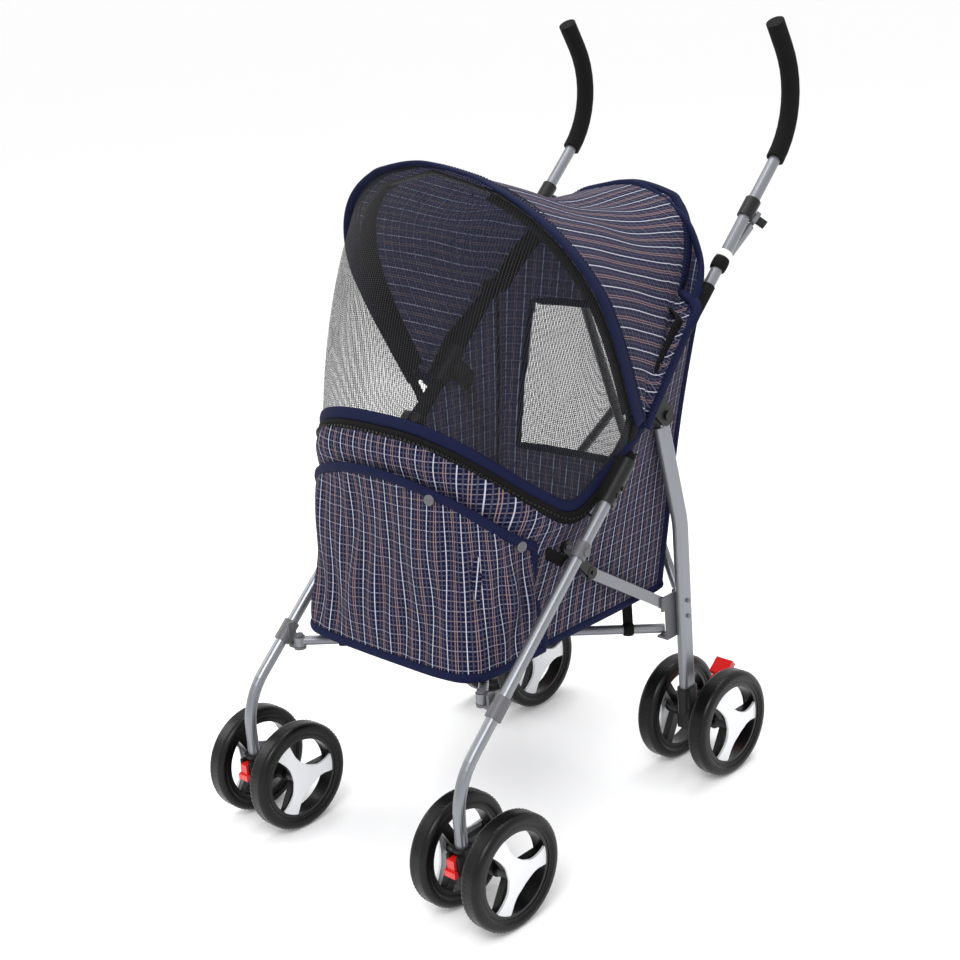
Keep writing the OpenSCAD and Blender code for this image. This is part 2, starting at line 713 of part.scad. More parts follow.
front_leg(1);  // front_leg_right
front_leg(-1);  // front_leg_left
handle_tube(1);  // handle_tube_right
handle_tube(-1);  // handle_tube_left
grip(1);  // grip_right
grip(-1);  // grip_left
lock_bracket(1);  // lock_bracket_right
lock_bracket(-1);  // lock_bracket_left
lock_lever(1);  // lock_lever_right
lock_lever(-1);  // lock_lever_left
upper_hinge(1);  // upper_hinge_right
upper_hinge(-1);  // upper_hinge_left
front_bracket(1);  // front_bracket_right
front_bracket(-1);  // front_bracket_left
rear_leg(1);  // rear_leg_right
rear_leg(-1);  // rear_leg_left
rear_bracket(1);  // rear_bracket_right
rear_bracket(-1);  // rear_bracket_left
rear_hub(1);  // rear_hub_right
rear_hub(-1);  // rear_hub_left
pair_axle(rear_half, rear_axle_y);  // rear_axle_right
pair_axle(-rear_half, rear_axle_y);  // rear_axle_left
brake_pedal(1);  // brake_pedal_right
brake_pedal(-1);  // brake_pedal_left
short_link(1);  // short_link_right
short_link(-1);  // short_link_left
long_link(1);  // long_link_right
long_link(-1);  // long_link_left
back_arm(1);  // back_arm_right
back_arm(-1);  // back_arm_left
bottom_arm(1);  // bottom_arm_right
bottom_arm(-1);  // bottom_arm_left
caster_fork(1);  // caster_fork_right
caster_fork(-1);  // caster_fork_left
pair_axle(leg_half, swivel_y + trail);  // caster_axle_right
pair_axle(-leg_half, swivel_y + trail);  // caster_axle_left
swivel_lock(1);  // swivel_lock_right
swivel_lock(-1);  // swivel_lock_left
tyre(leg_half + twin_half, swivel_y + trail);  // tyre_front_right_outer
rim(leg_half + twin_half, swivel_y + trail, 1);  // rim_front_right_outer
tyre(leg_half - twin_half, swivel_y + trail);  // tyre_front_right_inner
rim(leg_half - twin_half, swivel_y + trail, -1);  // rim_front_right_inner
tyre(-leg_half - twin_half, swivel_y + trail);  // tyre_front_left_outer
rim(-leg_half - twin_half, swivel_y + trail, -1);  // rim_front_left_outer
tyre(-leg_half + twin_half, swivel_y + trail);  // tyre_front_left_inner
rim(-leg_half + twin_half, swivel_y + trail, 1);  // rim_front_left_inner
tyre(rear_half + twin_half, rear_axle_y);  // tyre_rear_right_outer
rim(rear_half + twin_half, rear_axle_y, 1);  // rim_rear_right_outer
tyre(rear_half - twin_half, rear_axle_y);  // tyre_rear_right_inner
rim(rear_half - twin_half, rear_axle_y, -1);  // rim_rear_right_inner
tyre(-rear_half - twin_half, rear_axle_y);  // tyre_rear_left_outer
rim(-rear_half - twin_half, rear_axle_y, -1);  // rim_rear_left_outer
tyre(-rear_half + twin_half, rear_axle_y);  // tyre_rear_left_inner
rim(-rear_half + twin_half, rear_axle_y, 1);  // rim_rear_left_inner
cabin();
floor_mat();
canopy();
front_mesh();
hoop(0.02, 0);  // hoop_front
hoop(0.98, 8);  // hoop_rear
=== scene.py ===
import json
import math

import bpy
import numpy as np
from mathutils import Matrix, Vector

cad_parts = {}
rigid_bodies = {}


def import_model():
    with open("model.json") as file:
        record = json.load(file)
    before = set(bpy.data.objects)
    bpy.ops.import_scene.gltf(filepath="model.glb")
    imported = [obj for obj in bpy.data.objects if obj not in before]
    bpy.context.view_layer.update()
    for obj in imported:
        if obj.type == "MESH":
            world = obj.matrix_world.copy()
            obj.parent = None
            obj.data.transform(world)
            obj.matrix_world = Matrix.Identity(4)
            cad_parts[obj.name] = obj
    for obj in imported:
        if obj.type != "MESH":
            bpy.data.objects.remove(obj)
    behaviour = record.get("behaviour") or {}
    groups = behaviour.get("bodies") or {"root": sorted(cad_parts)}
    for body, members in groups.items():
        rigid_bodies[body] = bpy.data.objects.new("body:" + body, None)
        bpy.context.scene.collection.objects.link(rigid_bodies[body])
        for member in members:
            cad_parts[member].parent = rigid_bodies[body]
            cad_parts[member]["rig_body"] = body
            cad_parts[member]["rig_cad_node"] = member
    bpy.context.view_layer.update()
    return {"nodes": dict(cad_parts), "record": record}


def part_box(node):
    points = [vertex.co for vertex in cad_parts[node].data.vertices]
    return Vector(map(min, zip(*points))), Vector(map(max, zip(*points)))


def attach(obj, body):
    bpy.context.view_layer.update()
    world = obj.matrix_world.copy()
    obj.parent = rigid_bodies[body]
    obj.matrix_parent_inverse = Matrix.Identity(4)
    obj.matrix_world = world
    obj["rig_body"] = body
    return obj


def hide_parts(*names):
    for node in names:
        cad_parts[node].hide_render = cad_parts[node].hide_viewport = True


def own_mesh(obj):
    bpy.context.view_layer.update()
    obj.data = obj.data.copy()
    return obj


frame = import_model()
NODES = frame["nodes"]

# ---------------------------------------------------------------- camera, light and floor
SCENE = bpy.context.scene


def set_camera():
    az, el, roll = math.radians(45.67), math.radians(18.87), math.radians(-4.74)
    back = Vector((math.sin(az) * math.cos(el), -math.cos(az) * math.cos(el), math.sin(el)))
    right = Vector((math.cos(az), math.sin(az), 0))
    up = back.cross(right)
    place = right * 0.0137 + Vector((0, -0.1, 0.4625)) + back * 2.229
    right2 = right * math.cos(roll) + up * math.sin(roll)
    up2 = up * math.cos(roll) - right * math.sin(roll)
    data = bpy.data.cameras.new("camera")
    data.sensor_width = 36
    data.lens = 63.34
    cam = bpy.data.objects.new("camera", data)
    SCENE.collection.objects.link(cam)
    turn = Matrix((right2, up2, back)).transposed()
    cam.matrix_world = Matrix.Translation(place) @ turn.to_4x4()
    SCENE.camera = cam


def set_light():
    world = bpy.data.worlds.new("studio")
    world.use_nodes = True
    sky = world.node_tree.nodes["Background"]
    sky.inputs[0].default_value = (1, 1, 1, 1)
    sky.inputs[1].default_value = 0.95
    SCENE.world = world
    for name, place, size, power in (
        ("key", (1.3, -2.0, 2.7), 1.2, 48),
        ("side", (-2.4, -1.0, 1.6), 1.2, 16),
        ("top", (-0.3, 0.6, 2.8), 1.5, 40),
    ):
        data = bpy.data.lights.new(name, "AREA")
        data.size = size
        data.energy = power
        lamp = bpy.data.objects.new(name, data)
        SCENE.collection.objects.link(lamp)
        lamp.location = place
        lamp.rotation_euler = (Vector((0, -0.05, 0.4)) - Vector(place)).to_track_quat("-Z", "Y").to_euler()
    SCENE.view_settings.view_transform = "Standard"


# ---------------------------------------------------------------- materials
class Mat:
    """A material with short calls for its nodes."""

    def __init__(self, name, **sockets):
        self.m = bpy.data.materials.new(name)
        self.m.use_nodes = True
        self.t = self.m.node_tree
        self.shader = self.t.nodes["Principled BSDF"]
        for key, value in sockets.items():
            self.set(key.replace("_", " "), value)

    def set(self, key, value):
        s = self.shader.inputs[key]
        if isinstance(value, bpy.types.NodeSocket):
            self.t.links.new(value, s)
        elif key == "Base Color":
            s.default_value = (*value, 1)
        else:
            s.default_value = value

    def node(self, kind, **values):
        n = self.t.nodes.new(kind)
        for key, value in values.items():
            setattr(n, key, value)
        return n

    def put(self, n, key, value):
        if isinstance(value, bpy.types.NodeSocket):
            self.t.links.new(value, n.inputs[key])
        else:
            n.inputs[key].default_value = value

    def math(self, op, a, b=0.0):
        n = self.node("ShaderNodeMath", operation=op)
        self.put(n, 0, a)
        self.put(n, 1, b)
        return n.outputs[0]

    def mix(self, fac, a, b):
        n = self.node("ShaderNodeMix", data_type="RGBA")
        self.put(n, "Factor", fac)
        for key, value in ((6, a), (7, b)):
            self.put(n, key, value if isinstance(value, bpy.types.NodeSocket) else (*value, 1))
        return n.outputs[2]

    def noise(self, scale, detail=3, where=None):
        n = self.node("ShaderNodeTexNoise")
        n.inputs["Scale"].default_value = scale
        n.inputs["Detail"].default_value = detail
        if where is None:
            where = self.node("ShaderNodeTexCoord").outputs["Object"]
        self.t.links.new(where, n.inputs["Vector"])
        return n.outputs["Fac"]

    def bump(self, height, strength, distance=0.001):
        n = self.node("ShaderNodeBump")
        n.inputs["Strength"].default_value = strength
        n.inputs["Distance"].default_value = distance
        self.t.links.new(height, n.inputs["Height"])
        self.t.links.new(n.outputs[0], self.shader.inputs["Normal"])

    def uv(self):
        n = self.node("ShaderNodeUVMap", uv_map="cloth")
        s = self.node("ShaderNodeSeparateXYZ")
        self.t.links.new(n.outputs[0], s.inputs[0])
        return s.outputs[0], s.outputs[1]

    def line(self, value, pitch, at, width):
        """1 on lines of that width, in metres, repeated every pitch, from at."""
        f = self.math("FRACT", self.math("DIVIDE", self.math("SUBTRACT", value, at - pitch / 2), pitch))
        d = self.math("ABSOLUTE", self.math("SUBTRACT", f, 0.5))
        return self.math("LESS_THAN", d, width / 2 / pitch)


def solid_mats():
    m = {}
    a = Mat("frame_paint", Base_Color=(0.22, 0.23, 0.25), Metallic=0.75, Roughness=0.33)
    a.bump(a.noise(900), 0.15, 0.0003)
    m["frame_paint"] = a.m
    a = Mat("link_metal", Base_Color=(0.2, 0.205, 0.225), Metallic=0.7, Roughness=0.4)
    a.bump(a.noise(700), 0.15, 0.0003)
    m["link_metal"] = a.m
    a = Mat("foam", Base_Color=(0.004, 0.004, 0.004), Roughness=0.85)
    a.set("Specular IOR Level", 0.15)
    a.bump(a.noise(1400, 5), 0.6, 0.0006)
    m["foam"] = a.m
    a = Mat("black_plastic", Base_Color=(0.006, 0.006, 0.006), Roughness=0.4)
    a.set("Specular IOR Level", 0.3)
    a.bump(a.noise(1600), 0.2, 0.0002)
    m["black_plastic"] = a.m
    a = Mat("grey_plastic", Base_Color=(0.09, 0.09, 0.1), Roughness=0.45)
    a.bump(a.noise(1600), 0.2, 0.0002)
    m["grey_plastic"] = a.m
    m["axle_steel"] = Mat("axle_steel", Base_Color=(0.5, 0.5, 0.52), Metallic=1.0, Roughness=0.3).m
    a = Mat("red_plastic", Base_Color=(0.62, 0.012, 0.01), Roughness=0.28)
    a.set("Coat Weight", 0.3)
    m["red_plastic"] = a.m
    a = Mat("tyre", Base_Color=(0.003, 0.003, 0.003), Roughness=0.32)
    a.set("Specular IOR Level", 0.24)
    a.bump(a.noise(500), 0.1, 0.0003)
    m["tyre"] = a.m
    a = Mat("rim_plastic", Base_Color=(0.004, 0.004, 0.004), Roughness=0.28)
    a.set("Specular IOR Level", 0.35)
    m["rim_plastic"] = a.m
    m["hoop_wire"] = Mat("hoop_wire", Base_Color=(0.02, 0.02, 0.02), Roughness=0.5).m
    a = Mat("cover_silver", Base_Color=(0.72, 0.73, 0.75), Metallic=0.25, Roughness=0.32)
    m["cover_silver"] = a.m
    a = Mat("white_plastic", Base_Color=(0.8, 0.8, 0.8), Roughness=0.5)
    m["white_plastic"] = a.m
    return m


def plaid_mat():
    """Navy cloth: bright single and double lines one way, faint lines the other, and light through it."""
    a = Mat("plaid", Roughness=0.9)
    a.set("Specular IOR Level", 0.15)
    u, v = a.uv()
    colour = a.mix(a.noise(240, 2), (0.0045, 0.006, 0.032), (0.009, 0.011, 0.05))
    pitch = 0.0245
    for at, wide, tint in (
        (0.0061, 0.0016, (0.075, 0.075, 0.125)),
        (0.0184, 0.0016, (0.075, 0.075, 0.125)),
        (0.0, 0.0012, (0.30, 0.29, 0.38)),
        (0.0122, 0.0012, (0.26, 0.2, 0.23)),
    ):
        colour = a.mix(a.line(v, pitch, at, wide), colour, tint)
    for at, wide, tint in (
        (0.0061, 0.0014, (0.1, 0.1, 0.14)),
        (0.0184, 0.0014, (0.1, 0.1, 0.14)),
        (0.0, 0.0013, (0.7, 0.73, 0.8)),
        (0.0108, 0.0011, (0.36, 0.25, 0.24)),
        (0.0137, 0.0011, (0.36, 0.25, 0.24)),
    ):
        colour = a.mix(a.line(u, pitch, at, wide), colour, tint)
    a.set("Base Color", colour)
    weave = a.math(
        "ADD",
        a.math("SINE", a.math("MULTIPLY", u, 9000.0)),
        a.math("SINE", a.math("MULTIPLY", v, 9000.0)),
    )
    a.bump(weave, 0.25, 0.0002)
    through = a.node("ShaderNodeBsdfTranslucent")
    a.t.links.new(a.mix(0.5, colour, (0.34, 0.37, 0.6)), through.inputs["Color"])
    both = a.node("ShaderNodeMixShader")
    both.inputs[0].default_value = 0.42
    a.t.links.new(a.shader.outputs[0], both.inputs[1])
    a.t.links.new(through.outputs[0], both.inputs[2])
    a.t.links.new(both.outputs[0], a.t.nodes["Material Output"].inputs[0])
    return a.m


def trim_mat(name, colour, rough=0.8):
    a = Mat(name, Base_Color=colour, Roughness=rough)
    a.set("Specular IOR Level", 0.12)
    a.bump(a.noise(1500, 4), 0.5, 0.0004)
    return a.m


def net_mat(name, pitch, thread, colour):
    a = Mat(name, Base_Color=colour, Roughness=0.7)
    u, v = a.uv()
    net = a.math("MAXIMUM", a.line(u, pitch, 0.0, thread), a.line(v, pitch, 0.0, thread))
    a.set("Alpha", net)
    return a.m


M = solid_mats()
M["plaid"] = plaid_mat()
M["navy"] = trim_mat("navy_binding", (0.005, 0.007, 0.032))
M["black_web"] = trim_mat("black_webbing", (0.004, 0.004, 0.0045))
M["lining"] = trim_mat("navy_lining", (0.02, 0.023, 0.05))
M["mat"] = trim_mat("mat_cloth", (0.03, 0.032, 0.045))
M["net"] = net_mat("mesh_net", 0.0026, 0.0004, (0.01, 0.01, 0.012))
M["net_rear"] = net_mat("rear_net", 0.0026, 0.0006, (0.01, 0.01, 0.012))


def paint_cad():
    by_slot = {p["node"]: p["material_slot"] for p in frame["record"]["subparts"]}
    for name, obj in NODES.items():
        slot = by_slot[name]
        obj.data.materials.clear()
        obj.data.materials.append(M.get(slot, M["black_plastic"]))
        smooth_by_angle(obj)


def smooth_by_angle(obj, angle=32):
    m = obj.data
    m.shade_smooth()
    m.set_sharp_from_angle(angle=math.radians(angle))


# ---------------------------------------------------------------- meshes
def add_mesh(name, verts, faces, mats, uv=None, face_mat=None):
    m = bpy.data.meshes.new(name)
    m.from_pydata([tuple(map(float, p)) for p in verts], [], [tuple(map(int, f)) for f in faces])
    obj = bpy.data.objects.new(name, m)
    SCENE.collection.objects.link(obj)
    for x in mats:
        m.materials.append(x)
    if uv is not None:
        layer = m.uv_layers.new(name="cloth")
        loops = np.zeros(len(m.loops), np.int32)
        m.loops.foreach_get("vertex_index", loops)
        layer.data.foreach_set("uv", np.asarray(uv, np.float32)[loops].ravel())
    if face_mat is not None:
        m.polygons.foreach_set("material_index", np.asarray(face_mat, np.int32))
    m.validate()
    m.update()
    m.shade_smooth()
    return obj


def grid_normals(p, wrap):
    du = np.roll(p, -1, 0) - np.roll(p, 1, 0) if wrap else np.gradient(p, axis=0)
    dv = np.gradient(p, axis=1)
    n = np.cross(du, dv)
    return n / np.maximum(np.linalg.norm(n, axis=2, keepdims=True), 1e-9)


def cloth_grid(name, p, uv, mats, thick=0.0016, wrap=False, face_pick=None):
    """A closed thin sheet on a grid of points: rows go round or across, columns along."""
    rows, cols = p.shape[:2]
    n = grid_normals(p, wrap) * thick / 2
    verts = np.concatenate([(p + n).reshape(-1, 3), (p - n).reshape(-1, 3)])
    count = rows * cols
    faces, pick = [], []
    last = rows if wrap else rows - 1
    for i in range(last):
        k = (i + 1) % rows
        for j in range(cols - 1):
            q = [i * cols + j, k * cols + j, k * cols + j + 1, i * cols + j + 1]
            choice = face_pick(i, j) if face_pick else 0
            faces.append(q)
            pick.append(choice)
            faces.append([count + x for x in reversed(q)])
            pick.append(choice)
    edges = []
    for i in range(last):
        k = (i + 1) % rows
        edges += [(i * cols, k * cols), (k * cols + cols - 1, i * cols + cols - 1)]
    if not wrap:
        for j in range(cols - 1):
            edges += [(j + 1, j), ((rows - 1) * cols + j, (rows - 1) * cols + j + 1)]
    for a, b in edges:
        faces.append([b, a, count + a, count + b])
        pick.append(0)
    uvs = np.concatenate([uv.reshape(-1, 2)] * 2)
    return add_mesh(name, verts, faces, mats, uvs, pick)


def between(a, b, c, d, t):
    """A place on the rounded line from b to c, a share t of the way."""
    bend = (c - a) * t + (2 * a - 5 * b + 4 * c - d) * t**2 + (3 * b - a - 3 * c + d) * t**3
    return 0.5 * (2 * b + bend)


def resample(points, count):
    """count points along a rounded line through the given ones, evenly spaced."""
    p = np.asarray(points, float)
    ext = np.concatenate([2 * p[:1] - p[1:2], p, 2 * p[-1:] - p[-2:-1]])
    out = []
    for i in range(1, len(ext) - 2):
        for t in np.linspace(0, 1, 12, endpoint=False):
            out.append(between(*ext[i - 1 : i + 3], t))
    out.append(p[-1])
    out = np.array(out)
    s = np.concatenate([[0], np.cumsum(np.linalg.norm(np.diff(out, axis=0), axis=1))])
    t = np.linspace(0, s[-1], count)
    return np.stack([np.interp(t, s, out[:, k]) for k in range(3)], 1)


def band(name, points, width, height, mat, closed=False, sides=12, across=None):
    """A rounded band swept along points: width lies along across, or along the path's side."""
    p = np.asarray(points, float)
    n = len(p)
    tan = np.roll(p, -1, 0) - np.roll(p, 1, 0) if closed else np.gradient(p, axis=0)
    tan /= np.linalg.norm(tan, axis=1, keepdims=True)
    if across is None:
        across = np.tile([0, 0, 1.0], (n, 1))
    across = np.asarray(across, float)
    if across.ndim == 1:
        across = np.tile(across, (n, 1))
    u = across - tan * (across * tan).sum(1, keepdims=True)
    u /= np.maximum(np.linalg.norm(u, axis=1, keepdims=True), 1e-6)
    w = np.cross(tan, u)
    verts = []
    for k in range(sides):
        a = 2 * math.pi * k / sides
        verts.append(p + u * width / 2 * math.cos(a) + w * height / 2 * math.sin(a))
    verts = np.stack(verts, 1).reshape(-1, 3)
    faces = []
    for i in range(n if closed else n - 1):
        j = (i + 1) % n
        for k in range(sides):
            l = (k + 1) % sides
            faces.append([i * sides + k, i * sides + l, j * sides + l, j * sides + k])
    if not closed:
        faces.append(list(range(sides - 1, -1, -1)))
        faces.append([(n - 1) * sides + k for k in range(sides)])
    return add_mesh(name, verts, faces, [mat])


def soft(obj):
    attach(obj, "cabin")
    return obj


def circle(k, count):
    """Cosine and sine of step k of count round a circle."""
    a = 2 * math.pi * k / count
    return math.cos(a), math.sin(a)


def waves(shape, rows, cols, seed):
    """Smooth random folds on a grid, about -1 to 1."""
    r = np.random.default_rng(seed)
    i, j = np.meshgrid(np.linspace(0, 1, shape[0]), np.linspace(0, 1, shape[1]), indexing="ij")
    out = np.zeros(shape)
    for _ in range(14):
        a, b = r.uniform(0.3, 1) * rows, r.uniform(0.2, 1) * cols
        out += np.sin(2 * math.pi * (a * i * r.choice([-1, 1]) + b * j) + r.uniform(0, 6.28)) / 3.5
    return out


# ---------------------------------------------------------------- canopy
PIVOT = np.array([0.016, 0.525])
HOOD_TOP = (0.885, 0.796)
HOOD_HALF = (0.232, 0.172)
HOOD_RAKE = (-0.41, 0.93)
HOOD_DIP = 0.038
HUB_HALF = 0.204


def mixed(pair, w):
    return pair[0] + (pair[1] - pair[0]) * w


def hood_point(u, w, inset=0.0):
    """The arch of the hood, as in the CAD: u from 0 to 2 across, w from the front hoop to the rear."""
    a = math.asin(min(1, u * u)) if u < 1 else math.pi - math.asin(min(1, (2 - u) ** 2))
    top = mixed(HOOD_TOP, w) - HOOD_DIP * math.sin(math.pi * w) - inset - PIVOT[1]
    half = mixed(HOOD_HALF, w) - inset
    rake = mixed(HOOD_RAKE, w)
    rise = max(math.sin(a), 0.0) ** (0.5 + 0.1 * w)
    spread = HUB_HALF + (half - HUB_HALF) * min(1, rise / 0.55) - inset * (1 - rise)
    c = math.cos(a)
    # beside the handle tube the cloth stays outside it
    beside = 0.25 + 1.35 * max(0, w - 0.8)
    fade = max(0, 1 - max(0, rise - beside) / 0.25)
    clear = (HUB_HALF - 0.001 - 0.008 * rise - inset) * fade
    x = math.copysign(max(spread * abs(c) ** (1.1 - 0.25 * w), clear), c)
    return np.array([x, PIVOT[0] + rake * top * rise, PIVOT[1] + top * rise])


def arch(w, count, first=0.1, inset=0.0):
    return resample([hood_point(u, w, inset) for u in np.linspace(first, 2 - first, 61)], count)


def make_canopy():
    rows, cols = 121, 41
    p = np.stack([arch(w, rows)[::-1] for w in np.linspace(0, 1, cols)], 1)
    length = np.linalg.norm(np.diff(p[:, cols // 2], axis=0), axis=1).sum()
    s = np.linspace(0, length, rows)[:, None] + np.zeros((1, cols))
    d = np.concatenate([np.zeros((rows, 1)), np.cumsum(np.linalg.norm(np.diff(p, axis=1), axis=2), 1)], 1)
    n = grid_normals(p, False)
    free = np.sin(np.linspace(0, math.pi, cols))[None, :] ** 0.7
    fold = waves((rows, cols), 9, 2.2, 3) * 0.0022 + waves((rows, cols), 3, 1.5, 5) * 0.0035
    p = p + n * (fold * free - 0.0015)[..., None]
    obj = soft(cloth_grid("canopy_cloth", p, np.stack([s, d], 2), [M["plaid"], M["lining"]]))
    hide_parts("canopy")
    for w, name, wide in ((0.0, "front", 0.024), (1.0, "rear", 0.014)):
        path = arch(w, 140, 0.06)
        lie = path - arch(0.05 if w == 0 else 0.95, 140, 0.06)
        soft(band(f"canopy_binding_{name}", path, wide, 0.006, M["navy"], across=lie))
        in_from_edge = lie / np.linalg.norm(lie, axis=1, keepdims=True) * wide * 0.36
        stitch(f"canopy_stitch_{name}", path - in_from_edge, 0.0035)
    for side, row in (("left", 0), ("right", rows - 1)):
        soft(band(f"canopy_hem_{side}", p[row], 0.012, 0.005, M["navy"]))


def stitch(name, path, out=0.003):
    """A row of short threads on a seam."""
    p = resample(path, max(8, int(np.linalg.norm(np.diff(path, axis=0), axis=1).sum() / 0.0045)))
    verts, faces = [], []
    for i in range(len(p) - 1):
        a, b = p[i], p[i] + (p[i + 1] - p[i]) * 0.62
        t = (b - a) / np.linalg.norm(b - a)
        side = np.cross(t, [0.3, 0.2, 1.0])
        side /= np.linalg.norm(side)
        up = np.cross(side, t)
        base = len(verts)
        for q in (a, b):
            for k in range(5):
                g = 2 * math.pi * k / 5
                verts.append(q + (side * math.cos(g) + up * math.sin(g)) * out * 1.06)
        faces += [[base + k, base + (k + 1) % 5, base + 5 + (k + 1) % 5, base + 5 + k] for k in range(5)]
        faces += [[base + 4 - k for k in range(5)], [base + 5 + k for k in range(5)]]
    return soft(add_mesh(name, verts, faces, [M["navy"]]))


# ---------------------------------------------------------------- cabin bag
TOP = [
    (0, -0.250, 0.588), (0.062, -0.248, 0.585), (0.112, -0.237, 0.570), (0.150, -0.208, 0.538),
    (0.172, -0.160, 0.495), (0.180, -0.105, 0.462), (0.184, -0.050, 0.482), (0.190, 0.016, 0.522),
    (0.188, 0.100, 0.606), (0.182, 0.170, 0.682), (0.160, 0.200, 0.722), (0.105, 0.232, 0.760),
    (0, 0.256, 0.790),
]
FOOT = [
    (0, -0.272, 0.282), (0.062, -0.273, 0.282), (0.112, -0.272, 0.282), (0.142, -0.262, 0.282),
    (0.153, -0.235, 0.282), (0.154, -0.160, 0.281), (0.154, -0.090, 0.281), (0.154, -0.020, 0.280),
    (0.154, 0.040, 0.280), (0.153, 0.092, 0.280), (0.142, 0.106, 0.280), (0.090, 0.109, 0.280),
    (0, 0.110, 0.280),
]


def full_loop(half):
    """Both halves of an outline that is the same on each side."""
    h = np.asarray(half, float)
    other = h[-2:0:-1] * [-1, 1, 1]
    return np.concatenate([h, other])


PER_POINT = 14


def spline_loop(points, per=PER_POINT):
    n = len(points)
    out = []
    for i in range(n):
        a, b, c, d = points[i - 1], points[i], points[(i + 1) % n], points[(i + 2) % n]
        for t in np.linspace(0, 1, per, endpoint=False):
            out.append(between(a, b, c, d, t))
    return np.array(out)


def make_bag():
    top, foot = spline_loop(full_loop(TOP)), spline_loop(full_loop(FOOT))
    cols = 61
    t = np.linspace(0, 1, cols)[None, :, None]
    p = foot[:, None] * (1 - t) + top[:, None] * t
    rows = len(p)
    seg = np.linalg.norm(np.roll(p, -1, 0) - p, axis=2)
    mid = seg[:, cols // 3]
    s = np.concatenate([[0], np.cumsum(mid)[:-1]])[:, None] + np.zeros((1, cols))
    # the front seam carries the turn of the cloth round the bag
    d = np.concatenate([np.zeros((rows, 1)), np.cumsum(np.linalg.norm(np.diff(p, axis=1), axis=2), 1)], 1)
    n = grid_normals(p, True)
    n *= np.sign((n[:, :, :2] * p[:, :, :2]).sum(2) + 1e-9).mean() or 1
    tt = t[..., 0]
    free = np.sin(math.pi * np.clip(tt, 0, 1)) ** 0.6
    frontness = np.clip(-(p[..., 1] + 0.02) / 0.2, 0, 1)
    bulge = 0.012 * np.exp(-(((tt - 0.88) / 0.1) ** 2)) * frontness
    sag = -0.006 * np.sin(math.pi * tt) * (1 - frontness)
    fold = waves((rows, cols), 26, 1.6, 11) * 0.0016 + waves((rows, cols), 7, 1.2, 12) * 0.003
    limit = np.where(np.abs(p[..., 0]) > 0.146, 0.4, 1.0)
    p = p + n * ((fold * free * limit + bulge + sag))[..., None]

    def pick(i, j):
        q = (p[i, j] + p[(i + 1) % rows, j + 1]) / 2
        return 2 if q[1] > 0.09 and -0.13 < q[0] < 0.055 and 0.425 < q[2] < 0.63 else 0

    mats = [M["plaid"], M["lining"], M["net_rear"]]
    obj = soft(cloth_grid("cabin_cloth", p, np.stack([s, d], 2), mats, wrap=True, face_pick=pick))
    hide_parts("cabin")
    soft(band("cabin_binding_foot", p[:, 0], 0.012, 0.007, M["navy"], closed=True))
    soft(band("cabin_binding_top", p[:, -1] + [0, 0, 0.002], 0.018, 0.008, M["navy"], closed=True))
    for i, side in ((9 * PER_POINT, "right"), (rows - 9 * PER_POINT, "left")):
        soft(band(f"cabin_seam_{side}", p[i] + n[i] * 0.002, 0.010, 0.005, M["navy"]))
    # base cloth under the mat
    inner = p[:, 0] * [0.985, 1, 1]
    rings = np.stack([inner * [k, 1, 1] + np.array([0, 0, 0.001]) for k in (1.0, 0.6, 0.2)], 1)
    rings[:, 1:, 1] = (rings[:, 1:, 1] + 0.08) * np.array([0.6, 0.2]) - 0.08
    base = cloth_grid("cabin_base", rings, rings[..., :2], [M["lining"]], wrap=True)
    soft(base)
    window = [(-0.132, 0.425), (0.057, 0.425), (0.057, 0.63), (-0.132, 0.63)]
    back = p[(np.abs(p[:, 0, 0]) < 0.14) & (p[:, 0, 1] > 0.05)]

    def on_back(x, z):
        col = back[np.argmin(np.abs(back[:, 20, 0] - x))]
        k = np.argmin(np.abs(col[:, 2] - z))
        return np.array([x, col[k, 1] - 0.002, z])

    path = [on_back(a[0] + (b[0] - a[0]) * k / 14, a[1] + (b[1] - a[1]) * k / 14)
            for a, b in zip(window, window[1:] + window[:1]) for k in range(14)]
    soft(band("window_binding", path, 0.012, 0.005, M["navy"], closed=True, across=(0.7, 0, 0.7)))
    return p


def pocket_edge(c, out=0.0):
    """Top edge of the front pocket: c is an angle from 0 at the right end to pi."""
    s = max(math.sin(c), 0)
    x = (0.169 + out) * math.copysign(abs(math.cos(c)) ** 1.09, math.cos(c))
    return np.array([x, -0.142 - (0.118 + out) * s**0.45, 0.425 + 0.101 * s**0.86])


